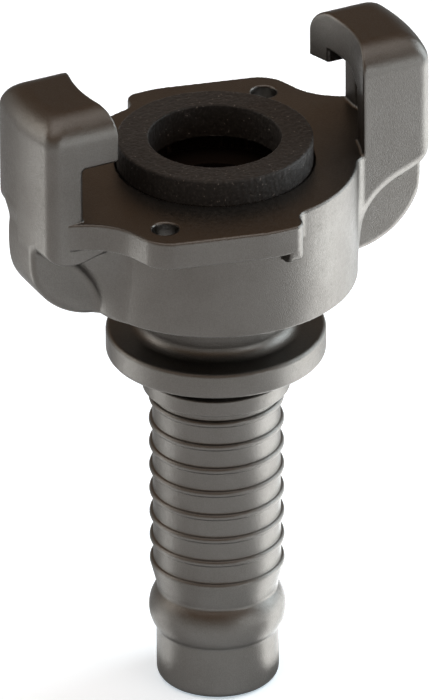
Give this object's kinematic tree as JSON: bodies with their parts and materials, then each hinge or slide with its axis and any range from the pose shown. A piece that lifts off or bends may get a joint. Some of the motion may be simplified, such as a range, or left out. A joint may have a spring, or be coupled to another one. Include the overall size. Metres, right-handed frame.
{
  "type": "crimp hose fitting",
  "caption": "Twist-claw air hose coupling: a steel head with hooked claws, a flanged face and a soft gasket, on a ridged tail that a ferrule crimps to the hose.",
  "frame": {"origin": "on the axis, at the flat end of the hose tail", "axes": "+Z along the axis from the tail to the claws, +X through the middle of one claw, +Y towards that claw's open side"},
  "size_m": [0.0676, 0.0512, 0.1075],
  "materials": {
    "steel": "cast, blasted and plated, satin",
    "rubber": "matt, slightly leathery"
  },
  "bodies": {
    "root": {"coupling_body": "steel", "gasket": "rubber"}
  },
  "joints": []
}
